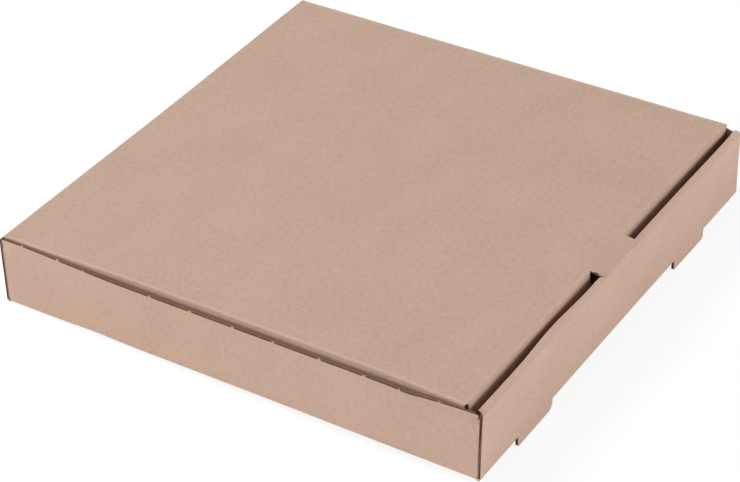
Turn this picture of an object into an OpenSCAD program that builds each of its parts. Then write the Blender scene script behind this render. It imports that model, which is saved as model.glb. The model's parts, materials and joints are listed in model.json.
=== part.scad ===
// Pizza box of fluted kraft card: one die-cut sheet, folded into a tray and a lid that stays joined to it.
// The front wall faces -Y and the lid's crease is at +Y. The box stands on two front feet and on its rear
// bottom crease. The lid is drawn closed, with its flaps tucked inside the walls.

/* [Box] */
// Outer width of the tray, side to side
box_w = 305; // [240:1:420]
// Outer depth of the tray, front to back
box_d = 305; // [240:1:420]
// Height of the closed lid above the underside of the base
box_h = 44.5; // [34:0.5:64]

/* [Board] */
// Thickness of the fluted board
board_t = 1.6; // [1.2:0.1:2.4]
// Radius on the inside of a crease
crease_r = 0.3; // [0.2:0.1:0.8]
// Play between layers of board that lie against each other
layer_play = 0.1; // [0.05:0.05:0.3]
// Relief cut where two creases meet at a corner
corner_relief = 0.4; // [0.2:0.1:1.2]

/* [Side walls and corner flaps] */
// Drop of a side wall's cut top edge below the top of the lid
side_drop = 1.4; // [1:0.1:6]
// Drop of a corner crease's top below the side wall's top edge
corner_drop = 1.2; // [1:0.1:4]
// Length over which a side wall's top edge slopes down to a corner crease
corner_run = 2; // [0.5:0.5:10]
// The same at the right front corner, where the crease is low so that the front wall rolls over it
low_corner_run = 16; // [2:1:40]
// Length of the corner flaps that lie inside the front and back walls
corner_flap_l = 42; // [20:1:60]
// Height of a corner flap's lower edge above the base
corner_flap_lift = 1; // [0.5:0.1:4]
// Taper of a corner flap on its top and bottom edges
corner_flap_taper = 3; // [0:0.5:8]
// Radius of a corner flap's free corners
corner_flap_r = 5; // [1:0.5:10]
// Width of the torn nicks left on the left side wall's top edge
nick_w = 1.8; // [0.8:0.1:4]
// Height of the torn nicks
nick_h = 0.6; // [0.2:0.1:1]

/* [Front wall, feet and locks] */
// Distance from the left side of the box to the end of the rolled front wall's inner panel
roll_end_left = 6; // [5:0.5:12]
// Distance from the right side of the box to the end of the rolled front wall's inner panel
roll_end_right = 2.5; // [2:0.1:12]
// Taper of the front wall's outer panel at its left end, from its crease to its top
front_taper_left = 2.2; // [0:0.1:4]
// Taper of the front wall's outer panel at its right end, from its crease to its top
front_taper_right = 1; // [0:0.1:4]
// Width of a foot, and of the slot that it leaves in the base
foot_w = 39; // [20:1:60]
// Drop of a foot below the base
foot_drop = 5; // [4:0.5:9]
// Distance from the middle of the pair of feet to the middle of a foot
foot_x = 92; // [50:1:95]
// Shift of the pair of feet from the middle of the box, to the right
foot_shift = -2.5; // [-5:0.5:5]
// Radius of a foot's lower corner at its square end
foot_square_r = 1; // [0.5:0.1:3]
// Radius of a foot's lower corner at its round end
foot_round_r = 4; // [1:0.1:5]
// Play at each end of a lock tab in its slot
lock_play = 2; // [1:0.5:5]
// Reach of a lock tab below the base
lock_reach = 1; // [0.5:0.1:3]
// Radius of a lock tab's corners
lock_r = 0.8; // [0.3:0.1:1]

/* [Lid] */
// Gap in the crease between the lid and the back wall
hinge_gap = 0.3; // [0.2:0.1:1]
// Play between a lid flap and the side wall that it slides down
side_play = 0.9; // [0.3:0.1:2]
// Clearance of the front flap's lower edge from the front wall as it swings out
swing_clear = 2.5; // [0.3:0.1:4]
// Height of a side flap's lower edge above the base
side_flap_lift = 6; // [3:0.5:20]
// Height of the front flap's lower edge above the base
front_flap_lift = 9; // [5:0.5:20]
// Taper of a lid flap at each end
flap_taper = 6; // [0:0.5:15]
// Radius of a lid flap's lower corners
flap_r = 8; // [1:0.5:12]
// Width of the slit between a side flap and the front flap
slit_w = 1.5; // [0.5:0.1:5]
// Gap from a side flap's rear end to the corner flap behind it
flap_rear_gap = 1; // [1:0.5:10]

/* [Lift tab] */
// Width of the lift tab at its root
tab_root_w = 40; // [20:1:80]
// Shift of the lift tab from the middle of the box, to the right
tab_shift = 2.5; // [-10:0.5:10]
// Taper of the lift tab at each side
tab_taper = 1.5; // [0:0.1:5]
// Overhang of the lift tab past the face of the front wall
tab_overhang = 0.5; // [0.5:0.1:8]
// Radius of the lift tab's front corners
tab_r = 3.5; // [1:0.1:6]
// Gap between the lift tab and the top of the front wall
tab_gap = 0.5; // [0.3:0.1:2]

/* [Hidden] */
$fn = 48;
kraft = [0.76, 0.65, 0.57];
cut_overrun = 1;
nick_root = board_t;

// Places of the nicks along the left side wall, from its front end
nick_place_shares = [0.07, 0.15, 0.22, 0.31, 0.40, 0.485, 0.575, 0.66, 0.745, 0.81, 0.87, 0.955];

// Outer radius of a crease, and the levels of the sheet above the underside of the base
fold_r = board_t + crease_r;
side_top = box_h - side_drop;
corner_top = side_top - corner_drop;
hinge_z = box_h - board_t / 2;
hinge_y = box_d / 2 - board_t / 2;
back_top = box_h - board_t - hinge_gap;
front_top = box_h - board_t - tab_gap;

// The rolled front wall: outer panel, corner flap and inner panel side by side
roll_t = 3 * board_t + 2 * layer_play;
roll_r = roll_t / 2;
roll_z = front_top - roll_r;
roll_left = roll_end_left - box_w / 2;
roll_right = box_w / 2 - roll_end_right;
front_h = roll_z - fold_r;
front_left = front_taper_left - box_w / 2;
front_right = box_w / 2 - front_taper_right;
roll_lap = board_t;
inner_foot_z = board_t + layer_play;
outer_pack = board_t + layer_play;

// Side walls run between the creases of their corner flaps
side_l = box_d - 2 * (outer_pack + fold_r);
side_crease_l = box_d - 2 * (fold_r + corner_relief);
low_corner_top = roll_z - layer_play;
corner_flap_z = board_t + corner_flap_lift;
corner_flap_h = low_corner_top - corner_relief - corner_flap_z;
corner_crease_z = fold_r + corner_relief;

// A foot hangs from the front panel, and the same outline is open in the base
foot_l = foot_drop + fold_r;
lock_w = foot_w - 2 * lock_play;
lock_l = inner_foot_z + lock_reach;

// The lid between the walls. Its front flap swings out on an arc that has to clear the front wall.
lid_w = box_w - 2 * (board_t + side_play);
front_flap_depth = hinge_z - board_t - front_flap_lift;
swing_reach = hinge_y + box_d / 2 - roll_t - swing_clear;
lid_reach = sqrt(pow(swing_reach, 2) - pow(front_flap_depth, 2));
lid_front = hinge_y - lid_reach;
lid_fold_y = lid_front + fold_r;
lid_fold_z = box_h - fold_r;
front_flap_l = lid_fold_z - board_t - front_flap_lift;
side_flap_l = lid_fold_z - board_t - side_flap_lift;
side_flap_front = lid_fold_y + slit_w;
side_flap_rear = box_d / 2 - 2 * outer_pack - flap_rear_gap;
side_flap_w = side_flap_rear - side_flap_front;
side_fold_w = hinge_y - board_t / 2 - corner_relief - side_flap_front;
tab_l = lid_fold_y + box_d / 2 + tab_overhang;

// Puts the model on its feet, with the lift tab counted in its middle
module in_frame() {
    translate([0, tab_overhang / 2, foot_drop])
        children();
}

// Runs a section across the box: its first axis points to the back and its second one up
module along_x(length) {
    rotate([90, 0, 90])
        linear_extrude(length, center = true)
            children();
}

// Runs a section from front to back: its first axis points to the right and its second one up
module along_y(length) {
    rotate([90, 0, 0])
        linear_extrude(length, center = true)
            children();
}

// Copies a shape to the left and right sides
module both_sides() {
    for (side = [0, 1])
        mirror([side, 0, 0])
            children();
}

// Section of board bent round a quarter turn, with the crease's middle at the origin
module bend() {
    intersection() {
        difference() {
            circle(fold_r);
            circle(crease_r);
        }
        square(fold_r);
    }
}

// Outline with level edges: a root on the first axis and a top, each from a left to a right end
module trapezoid(root, top, height) {
    polygon([[root[0], 0], [root[1], 0], [top[1], height], [top[0], height]]);
}

// Outline of a flap: its root lies on the first axis, and its two free corners are round
module tongue(root_w, taper, length, left_r, right_r) {
    lean = atan2(taper, length);
    tip = root_w / 2 - taper;
    radii = [left_r, right_r];
    sides = [-1, 1];
    tangents = [for (r = radii) r * tan((90 - lean) / 2)];
    polygon(concat(
        [[-root_w / 2, 0]],
        [[-tip - tangents[0] * sin(lean), length - tangents[0] * cos(lean)]],
        [[-tip + tangents[0], length]],
        [[tip - tangents[1], length]],
        [[tip + tangents[1] * sin(lean), length - tangents[1] * cos(lean)]],
        [[root_w / 2, 0]]
    ));
    for (i = [0, 1])
        translate([sides[i] * (tip - tangents[i]), length - radii[i]])
            circle(radii[i]);
}

// Hangs an outline from its root, one board thick, with its outer face to the front
module hang_front() {
    rotate([-90, 0, 0])
        linear_extrude(board_t)
            children();
}

// Hangs an outline from its root, one board thick, with its outer face to the right
module hang_side() {
    rotate([-90, 0, 90])
        linear_extrude(board_t)
            children();
}

// Calls its children at each foot
module at_feet() {
    for (side = [-1, 1])
        translate([foot_shift + side * foot_x, 0, 0])
            children();
}

module foot_outline() {
    tongue(foot_w, 0, foot_l, foot_square_r, foot_round_r);
}

// Base panel with the creases up to the front and back walls, open where the feet were cut out of it
module base_panel() {
    difference() {
        union() {
            translate([-box_w / 2 + fold_r, -box_d / 2 + fold_r, 0])
                cube([box_w - 2 * fold_r, box_d - 2 * fold_r, board_t]);
            along_x(box_w)
                translate([-box_d / 2 + fold_r, fold_r])
                    rotate(180)
                        bend();
            along_x(box_w)
                translate([box_d / 2 - fold_r, fold_r])
                    rotate(-90)
                        bend();
        }
        translate([0, -box_d / 2, -cut_overrun])
            at_feet()
                linear_extrude(fold_r + 2 * cut_overrun)
                    foot_outline();
    }
}

// Front wall: outer panel with its feet, rolled over at the top, and inner panel locked into the base
module front_wall() {
    translate([0, -box_d / 2 + board_t, fold_r])
        rotate([90, 0, 0])
            linear_extrude(board_t)
                trapezoid([-box_w / 2, box_w / 2], [front_left, front_right], front_h);
    translate([0, -box_d / 2, fold_r])
        at_feet()
            hang_front()
                foot_outline();
    translate([0, -box_d / 2, 0])
        front_roll();
    translate([0, -box_d / 2 + roll_t - board_t, inner_foot_z])
        at_feet()
            hang_front()
                tongue(lock_w, 0, lock_l, lock_r, lock_r);
}

// Section of the board that rolls over: the outer panel's top, a half turn and the inner panel
module roll_section() {
    translate([0, roll_z - roll_lap])
        square([board_t, roll_lap]);
    translate([roll_r, roll_z])
        intersection() {
            difference() {
                circle(roll_r);
                circle(roll_r - board_t);
            }
            translate([-roll_r, 0])
                square([roll_t, roll_r]);
        }
    translate([roll_t - board_t, inner_foot_z])
        square([board_t, roll_z - inner_foot_z]);
}

// That section across the box, with its ends cut aslant from the outer panel to the inner one
module front_roll() {
    intersection() {
        along_x(box_w)
            roll_section();
        linear_extrude(front_top) {
            trapezoid([front_left, front_right], [roll_left, roll_right], roll_t - board_t);
            translate([roll_left, roll_t - board_t])
                square([roll_right - roll_left, board_t]);
        }
    }
}

// Back wall, up to the crease of the lid
module back_wall() {
    translate([-box_w / 2, box_d / 2 - board_t, fold_r])
        cube([box_w, board_t, back_top - fold_r]);
}

// Right side wall with its cut top edge, which slopes down at both ends, and the corner flaps there.
// A crease's own top lies one relief below the end of that slope.
module side_wall(front_corner_top, front_run) {
    translate([box_w / 2 - fold_r, 0, fold_r])
        along_y(side_crease_l)
            rotate(-90)
                bend();
    translate([box_w / 2 - board_t, -side_crease_l / 2, fold_r])
        cube([board_t, side_crease_l, corner_relief]);
    translate([box_w / 2 - board_t / 2, 0, 0])
        along_x(board_t)
            polygon([
                [-side_l / 2, fold_r],
                [side_l / 2, fold_r],
                [side_l / 2, corner_top + corner_relief],
                [side_l / 2 - corner_run, side_top],
                [front_run - side_l / 2, side_top],
                [-side_l / 2, front_corner_top + corner_relief],
            ]);
    corner_flap(corner_top);
    mirror([0, 1, 0])
        corner_flap(front_corner_top);
}

// Torn nicks on the left side wall's top edge
module nicks() {
    for (share = nick_place_shares)
        translate([-box_w / 2, side_l * share - (side_l + nick_w) / 2, side_top - nick_root])
            cube([board_t, nick_w, nick_root + nick_h]);
}

// Crease and flap at the rear end of the right side wall
module corner_flap(crease_top) {
    translate([box_w / 2 - fold_r, side_l / 2, corner_crease_z])
        linear_extrude(crease_top - corner_crease_z)
            bend();
    translate([box_w / 2 - fold_r, box_d / 2 - outer_pack, corner_flap_z + corner_flap_h / 2])
        rotate([90, -90, 0])
            linear_extrude(board_t)
                tongue(corner_flap_h, corner_flap_taper, corner_flap_l, corner_flap_r, corner_flap_r);
}

module tray() {
    color(kraft)
        in_frame() {
            base_panel();
            front_wall();
            back_wall();
            side_wall(low_corner_top, low_corner_run);
            mirror([1, 0, 0])
                side_wall(corner_top, corner_run);
            nicks();
        }
}

// Lid panel, with the round edge of board that turns on the back wall
module lid_panel() {
    translate([-lid_w / 2 + fold_r, lid_fold_y, box_h - board_t])
        cube([lid_w - 2 * fold_r, hinge_y - lid_fold_y, board_t]);
    along_x(box_w)
        translate([hinge_y, hinge_z]) {
            circle(board_t / 2);
            translate([-board_t / 2, -board_t / 2])
                square([board_t / 2, board_t]);
        }
}

module tab_outline() {
    tongue(tab_root_w, tab_taper, tab_l, tab_r, tab_r);
}

// Front flap, with the notch that the lift tab was cut from
module front_flap() {
    difference() {
        union() {
            along_x(lid_w)
                translate([lid_fold_y, lid_fold_z])
                    rotate(90)
                        bend();
            translate([0, lid_front, lid_fold_z])
                hang_front()
                    tongue(lid_w, flap_taper, front_flap_l, flap_r, flap_r);
        }
        translate([tab_shift, lid_front - cut_overrun, box_h])
            rotate([-90, 0, 0])
                linear_extrude(fold_r + 2 * cut_overrun)
                    tab_outline();
    }
}

// Lift tab, in the plane of the lid and over the front wall
module lift_tab() {
    translate([tab_shift, lid_fold_y, box_h - board_t])
        mirror([0, 1, 0])
            linear_extrude(board_t)
                tab_outline();
}

// Right side flap of the lid, on a crease that runs on almost to the lid's rear edge
module side_flap() {
    translate([lid_w / 2 - fold_r, side_flap_front + side_fold_w / 2, lid_fold_z])
        along_y(side_fold_w)
            bend();
    translate([lid_w / 2, side_flap_front + side_flap_w / 2, lid_fold_z])
        hang_side()
            tongue(side_flap_w, flap_taper, side_flap_l, flap_r, flap_r);
}

module lid() {
    color(kraft)
        in_frame() {
            lid_panel();
            front_flap();
            lift_tab();
            both_sides()
                side_flap();
        }
}

tray();
lid();
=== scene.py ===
import json
import math
import random
from collections import namedtuple

import bmesh
import bpy
import numpy as np
from mathutils import Matrix, Vector
from mathutils.geometry import delaunay_2d_cdt


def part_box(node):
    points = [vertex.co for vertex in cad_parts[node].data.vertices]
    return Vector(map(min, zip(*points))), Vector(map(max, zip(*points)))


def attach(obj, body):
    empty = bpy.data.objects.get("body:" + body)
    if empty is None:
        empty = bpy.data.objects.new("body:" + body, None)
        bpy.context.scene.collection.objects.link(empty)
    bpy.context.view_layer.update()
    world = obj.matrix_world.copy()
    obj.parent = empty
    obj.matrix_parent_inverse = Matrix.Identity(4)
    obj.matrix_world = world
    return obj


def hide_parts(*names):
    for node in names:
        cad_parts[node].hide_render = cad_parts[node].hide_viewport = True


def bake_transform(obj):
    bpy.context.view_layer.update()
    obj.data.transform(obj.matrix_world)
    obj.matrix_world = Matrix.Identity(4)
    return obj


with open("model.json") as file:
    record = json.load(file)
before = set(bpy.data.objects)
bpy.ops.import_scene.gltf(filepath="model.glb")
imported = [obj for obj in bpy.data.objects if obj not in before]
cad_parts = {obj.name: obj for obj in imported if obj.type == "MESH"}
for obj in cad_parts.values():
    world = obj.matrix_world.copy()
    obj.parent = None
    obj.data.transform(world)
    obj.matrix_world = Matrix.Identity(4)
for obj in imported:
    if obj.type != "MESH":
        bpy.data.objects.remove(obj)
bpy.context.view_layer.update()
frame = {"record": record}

# Sizes of the box, in metres, from the frame
tray_low, tray_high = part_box("tray")
lid_low, lid_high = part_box("lid")
mounts = {mount["name"]: mount for mount in frame["record"]["mounts"]}
BOX_W = tray_high.x - tray_low.x
BOX_D = tray_high.y - tray_low.y
BASE_Z = mounts["base_underside"]["pos_m"][2]
BOX_H = lid_high.z - BASE_Z
ORIGIN = np.array([0.0, (tray_low.y + tray_high.y) / 2, BASE_Z])
FOOT_DROP = BASE_Z - tray_low.z
TAB_OVERHANG = tray_low.y - lid_low.y

# The board: two liners with a wavy medium between them
BOARD_T = 0.0016
CREASE_R = 0.0003
LAYER_PLAY = 0.0001
LINER_T = 0.00026
MEDIUM_T = 0.0002
FLUTE_PITCH = 0.0034
GROOVE = 0.0012

# The lid's folds and the tray's upright corners are sharp, with this outer radius
SHARP_R = 0.0004

# Pale lines, partly stretched fibres and partly painted highlights where light catches the lid's fold
# shoulders and the roll's front edge: width on the lid, strength at its front and on the roll, and place
# on the roll
FOLD_HIGHLIGHT_W = 0.0020
FRONT_FOLD_HIGHLIGHT = 0.4
ROLL_HIGHLIGHT = 0.8
ROLL_HIGHLIGHT_SHARES = (-0.08, 0.58)

# Walls and corner flaps
CORNER_RELIEF = 0.0004
SIDE_DROP = 0.0014
CORNER_DROP = 0.0003
CORNER_RUN = 0.003
LOW_CORNER_RUN = 0.008
CORNER_FLAP_L = 0.042
CORNER_FLAP_LIFT = 0.001
CORNER_FLAP_TAPER = 0.003
CORNER_FLAP_R = 0.005

# Nicks: torn bridges along the left wall's top, each of its own size and shape
NICK_W = 0.0018
NICK_H = 0.0008
NICK_T = 0.0005
NICK_INSET = 0.00004
NICK_W_SHARES = (0.75, 1.2)
NICK_H_SHARES = (0.7, 1.2)
NICK_TIP_SHARES = (0.4, 0.8)
NICK_RAGGED_SHARES = (0.75, 1.15)
NICK_SEED = 7
NICK_PLACE_SHARES = (0.07, 0.145, 0.215, 0.305, 0.40, 0.485, 0.575, 0.663, 0.812, 0.872, 0.955)

# The rolled front wall, its feet and the lock tabs behind them
ROLL_END_LEFT = 0.006
ROLL_END_RIGHT = 0.0018
FRONT_TAPER_LEFT = 0.0022
FRONT_TAPER_RIGHT = 0.0004
FOOT_W = 0.0375
FEET_X = (-0.0942, 0.0878)
FOOT_SQUARE_R = 0.001
FEET_ROUND_R = (0.005, 0.0025)
LOCK_PLAY = 0.002
LOCK_REACH = 0.001
LOCK_R = 0.0008

# Lid, its flaps, the slits at its front corners (width, depth), its hinge strip and its lift tab
SIDE_PLAY = 0.0009
SWING_CLEAR = 0.0025
SIDE_FLAP_LIFT = 0.006
FRONT_FLAP_LIFT = 0.009
FLAP_TAPER = 0.006
FLAP_R = 0.008
SLIT_LEFT = (0.0008, 0.0019)
SLIT_RIGHT = (0.0004, 0.0005)
FLAP_REAR_GAP = 0.001
HINGE_STRIP = 0.0008
HINGE_RELIEF = 0.00006
HINGE_INSET = 0.0022
TAB_ROOT_W = 0.040
TAB_SHIFT = 0.0025
TAB_TAPER = 0.0015
TAB_R = 0.0035
TAB_GAP = 0.0005

# What follows from those sizes. Heights are above the underside of the base.
FOLD_R = BOARD_T + CREASE_R
BEND_S = (CREASE_R + BOARD_T / 2) * math.pi / 2
SHARP_S = SHARP_R * math.pi / 2
OUTER_PACK = BOARD_T + LAYER_PLAY
SIDE_TOP = BOX_H - SIDE_DROP
CORNER_TOP = SIDE_TOP - CORNER_DROP
ROLL_T = 3 * BOARD_T + 2 * LAYER_PLAY
ROLL_R = ROLL_T / 2
ROLL_Z = BOX_H - BOARD_T - TAB_GAP - ROLL_R
ROLL_LEFT = ROLL_END_LEFT - BOX_W / 2
ROLL_RIGHT = BOX_W / 2 - ROLL_END_RIGHT
LOW_CORNER_TOP = ROLL_Z - LAYER_PLAY
CORNER_FLAP_TOP = LOW_CORNER_TOP - CORNER_RELIEF
INNER_FOOT_Z = BOARD_T + LAYER_PLAY
SIDE_L = BOX_D - 2 * (OUTER_PACK + SHARP_R)
SIDE_CREASE_L = BOX_D - 2 * (FOLD_R + CORNER_RELIEF)
LID_W = BOX_W - 2 * (BOARD_T + SIDE_PLAY)
HINGE_Y = BOX_D / 2 - BOARD_T / 2
HINGE_Z = BOX_H - BOARD_T / 2
SWING_REACH = HINGE_Y + BOX_D / 2 - ROLL_T - SWING_CLEAR
LID_FRONT = HINGE_Y - math.sqrt(SWING_REACH ** 2 - (HINGE_Z - BOARD_T - FRONT_FLAP_LIFT) ** 2)
LID_FOLD_Y = LID_FRONT + SHARP_R
FRONT_FLAP_L = BOX_H - SHARP_R - BOARD_T - FRONT_FLAP_LIFT
SIDE_FLAP_L = BOX_H - SHARP_R - BOARD_T - SIDE_FLAP_LIFT
TAB_L = LID_FOLD_Y + BOX_D / 2 + TAB_OVERHANG
FOOT_L = FOOT_DROP + FOLD_R
LOCK_W = FOOT_W - 2 * LOCK_PLAY
LOCK_L = INNER_FOOT_Z + LOCK_REACH
FRONT_LEFT = FRONT_TAPER_LEFT - BOX_W / 2
FRONT_RIGHT = BOX_W / 2 - FRONT_TAPER_RIGHT
HINGE_W = BOX_W - 2 * HINGE_INSET

# Places on the flat sheet: u runs across the flutes, v along them, from the middle of the base
BASE_U = BOX_W / 2 - FOLD_R
BASE_V = BOX_D / 2 - FOLD_R
WALL_U = BASE_U + BEND_S
WALL_V = BASE_V + BEND_S
BACK_L = BOX_H - 2 * FOLD_R
CREASE_V = WALL_V + BACK_L
LID_V = CREASE_V + BEND_S
LID_U = LID_W / 2 - SHARP_R
FLAP_U = LID_U + SHARP_S
FRONT_V = LID_V + BASE_V - LID_FOLD_Y
FLAP_V = FRONT_V + SHARP_S
ROLL_S = ROLL_Z - FOLD_R
ROLL_L = math.pi * (ROLL_R - BOARD_T / 2)
INNER_S = ROLL_S + ROLL_L
INNER_END_S = INNER_S + ROLL_Z - INNER_FOOT_Z
CORNER_V = SIDE_L / 2 + SHARP_S

# How the real board sits. A pair named by an axis is where a move starts and ends along it. Another pair
# is its size at the left and what the right adds. A power says how fast it grows with height.

# The left wall bows out, with a dent in its top edge and a raised bottom crease
LEFT_REACH = 3 * BOARD_T
LEFT_BOW = 0.0026
BOW_POWER = 1.3
BOW_FRONT_Y = (-0.152, -0.107)
BOW_BACK_Y = (0.062, 0.148)
DENT_Y = -0.1115
DENT_HALF = 0.009
DENT_OUT = 0.0009
DENT_POWER = 8
SILL_Y = (-0.120, 0.0)
SILL_UP = 0.0005
SILL_BUMP_Y = 0.092
SILL_BUMP_HALF = 0.030
SILL_BUMP = 0.0006
SILL_POWER = 2

# The front wall leans in left of the tab and out elsewhere, and its right end is raised and set in
FRONT_REACH = ROLL_T + BOARD_T
LEAN_X = -0.068
LEAN_HALF = 0.040
LEAN_IN = 0.00145
LEAN_OUT = (0.00025, 0.00055)
LEAN_OUT_X = (0.070, 0.135)
LEAN_POWER = 2
FOOT_OUT = (0.0003, 0.0010)
FOOT_OUT_X = (0, BOX_W / 2)
FLARE_X = (BOX_W / 2 - 0.008, BOX_W / 2 - 0.001)
FLARE_UP = 0.0010
FLARE_POWER = 4
END_IN_X = (BOX_W / 2 - 0.030, BOX_W / 2)
END_IN = 0.0013

# The back crease is low at the left and high at the right, and the back wall's top is turned
BACK_SHIFT = (-0.0011, 0.0020)
BACK_POWER = 2
BACK_SHIFT_X = (-0.020, BOX_W / 2)
BACK_SHIFT_Y = (0.050, BOX_D / 2)
BACK_TURN = (0.00035, -0.0012)
BACK_TURN_X = (-BOX_W / 2, BOX_W / 2)
BACK_TURN_Y = (BOX_D / 2 - 0.030, BOX_D / 2)

# The lid is crowned, wide at the right and lifted at the left, with its right front pulled in y and z
LID_CROWN = 0.0012
LID_OUT_X = (0.050, BOX_W / 2)
LID_OUT = 0.0007
LIFT_X = (0.090, BOX_W / 2)
LIFT_FRONT_Y = (-0.128, -0.100)
LIFT_BACK_Y = (-0.100, 0.0)
LIFT_UP = 0.0008
RIGHT_PULL = (-0.0009, 0.0012)
RIGHT_PULL_X = (0.030, BOX_W / 2)
RIGHT_PULL_Y = (-0.150, 0.0)
TIP_PULL = (-0.0015, 0.0006)
TIP_PULL_X = (BOX_W / 2 - 0.028, BOX_W / 2)
TIP_PULL_Y = (-BOX_D / 2, 0.040 - BOX_D / 2)
PULL_DEPTH = 0.015

# Fineness of the mesh
GRID = 0.006
BEND_MARGIN = GRID / 10
BEND_STEPS = 8
ROLL_STEPS = 16
ARC_STEP = 0.0005
ARC_STEPS_LEAST = 3
FLUTE_STEP = FLUTE_PITCH / 12
MITRE_LIMIT = 0.5
SMOOTH_ANGLE = math.radians(35)

# Lengths that count as nothing
TOUCH = 1e-5
EDGE_CLEAR = 5 * TOUCH
WELD_GAP = TOUCH / 10

# The flat sheet is cut into triangles in millimetres, and only inside its outline
TRIANGLE_SCALE = 1000
TRIANGLE_GAP = 1e-6
TRIANGLES_INSIDE = 1

# Axes of the flat sheet, kinds of edge, materials of a board, and its two faces
ACROSS, ALONG = range(2)
JOIN, PLAIN, FLUTED = range(3)
LINER_SLOT, CORE_SLOT = range(2)
OUTSIDE = -BOARD_T / 2
INSIDE = BOARD_T / 2


class Profile:
    """A line in a plane that the board follows. Its stretches have a length and a turn."""

    def __init__(self, start, heading, steps):
        self.steps = []
        along = 0.0
        point = np.array(start, float)
        straight_on = (1.0, 0.0)
        for length, turn in [*steps, straight_on]:
            self.steps.append((along, point, heading, turn / length))
            point, _ = self._run(self.steps[-1], np.array(along + length))
            heading += turn
            along += length

    @staticmethod
    def _run(step, s):
        """Points and headings at distances s, if the whole line were like this stretch."""
        along, point, heading, bend = step
        run = s - along
        angle = heading + bend * run
        if bend:
            ahead = (np.sin(angle) - math.sin(heading)) / bend
            aside = (math.cos(heading) - np.cos(angle)) / bend
        else:
            ahead = run * math.cos(heading)
            aside = run * math.sin(heading)
        return np.array([point[0] + ahead, point[1] + aside]), angle

    def at(self, s, offset):
        """Points at distances s along the line, offset to its left."""
        s = np.asarray(s, float)
        first = np.zeros_like(s)
        second = np.zeros_like(s)
        for i, step in enumerate(self.steps):
            use = (s >= step[0]) | (i == 0)
            (a, b), angle = self._run(step, s)
            first = np.where(use, a - offset * np.sin(angle), first)
            second = np.where(use, b + offset * np.cos(angle), second)
        return first, second


QUARTER = math.pi / 2
base_across = Profile((0, BOARD_T / 2), 0, [(BASE_U, 0), (BEND_S, QUARTER)])
base_along = Profile((0, BOARD_T / 2), 0, [(BASE_V, 0), (BEND_S, QUARTER)])
front_roll = Profile((0, FOLD_R), QUARTER, [(ROLL_S, 0), (ROLL_L, -2 * QUARTER)])
spine = Profile((HINGE_Y, FOLD_R), QUARTER, [(BACK_L, 0), (BEND_S, QUARTER)])
side_corner = Profile((0, 0), 0, [(SIDE_L / 2, 0), (SHARP_S, QUARTER)])
lid_across = Profile((0, BOX_H), 0, [(LID_U, 0), (SHARP_S, -QUARTER)])
lid_front = Profile((LID_FOLD_Y, BOX_H), 2 * QUARTER, [(SHARP_S, QUARTER)])


def hump(t):
    """1 at t = 0, falling smoothly to 0 at t = -1 and 1."""
    return np.where(np.abs(t) < 1, np.cos(np.clip(t, -1, 1) * QUARTER) ** 2, 0)


def ease(value, start, end):
    """Smooth step from 0 at start to 1 at end."""
    t = np.clip((value - start) / (end - start), 0, 1)
    return t * t * (3 - 2 * t)


# Folded places of points at u and v on the flat sheet, h inward from the middle of the board

def place_base(u, v, h):
    """Base with its bottom creases, up to the walls."""
    x, z_across = base_across.at(np.abs(u), h)
    y, z_along = base_along.at(np.abs(v), h)
    in_end_bend = np.abs(v) > BASE_V - TOUCH
    x = np.where(in_end_bend, np.abs(u), x)
    return np.sign(u) * x, np.sign(v) * y, np.where(in_end_bend, z_along, z_across)


def mitred(h, s, start, end):
    """Depth under the outer face for a place at h, less beside a sharp fold from start to end."""
    away = np.maximum(np.maximum(start - s, s - end), 0)
    return np.minimum(h + BOARD_T / 2, SHARP_R + away)


def place_side(u, v, h):
    """Side wall with its corner flaps."""
    above_crease = np.abs(u) > WALL_U + TOUCH
    depth = np.where(above_crease, mitred(h, np.abs(v), SIDE_L / 2, CORNER_V), h + BOARD_T / 2)
    y, inward = side_corner.at(np.abs(v), depth)
    return np.sign(u) * (BOX_W / 2 - inward), np.sign(v) * y, FOLD_R + np.abs(u) - WALL_U


def place_front(u, v, h):
    """Front wall with its roll, inner panel and feet."""
    inward, z = front_roll.at(-WALL_V - v, -h)
    return u, BOARD_T / 2 - BOX_D / 2 + inward, z


def place_spine(u, v, h):
    """Back wall and the crease above it."""
    y, z = spine.at(v - WALL_V, h)
    return u, y, z


def place_lid(u, v, h):
    """Lid with its side flaps."""
    on_strip = v < LID_V + HINGE_STRIP + TOUCH
    depth = np.minimum(mitred(h, np.abs(u), LID_U, FLAP_U), mitred(h, v, FRONT_V, FLAP_V))
    depth = np.where(on_strip, h + BOARD_T / 2, depth)
    x, z = lid_across.at(np.abs(u), -depth)
    x = np.where(on_strip, np.abs(u), x)
    return np.sign(u) * x, LID_V + BASE_V - v, np.where(on_strip, BOX_H - depth, z)


def place_front_flap(u, v, h):
    """The lid's front flap."""
    y, z = lid_front.at(v - FRONT_V, mitred(h, v, FRONT_V, FLAP_V))
    return u, y, z


def place_tab(u, v, h):
    """Lift tab, which comes down to the roll."""
    out = v - FRONT_V
    depth = mitred(h, v, FRONT_V, FLAP_V)
    return u, LID_FOLD_Y - out, BOX_H - depth - TAB_GAP * ease(out, TAB_L / 2, TAB_L)


def graded(sizes, x, run):
    """A size at the left, with what is added to it along a run of x."""
    return sizes[0] + sizes[1] * ease(x, *run)


def back_turn(x, y, z):
    """How far the back wall's top is set back: out at the left and in at the right."""
    return graded(BACK_TURN, x, BACK_TURN_X) * np.clip(z / BOX_H, 0, 1) * ease(y, *BACK_TURN_Y)


def warp_back(x, y, z):
    """The crease at the back is a little low at the left and high at the right."""
    rise = np.clip(z / BOX_H, 0, 1)
    shift = graded(BACK_SHIFT, x, BACK_SHIFT_X)
    return x, y + back_turn(x, y, z), z + shift * rise ** BACK_POWER * ease(y, *BACK_SHIFT_Y)


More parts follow.
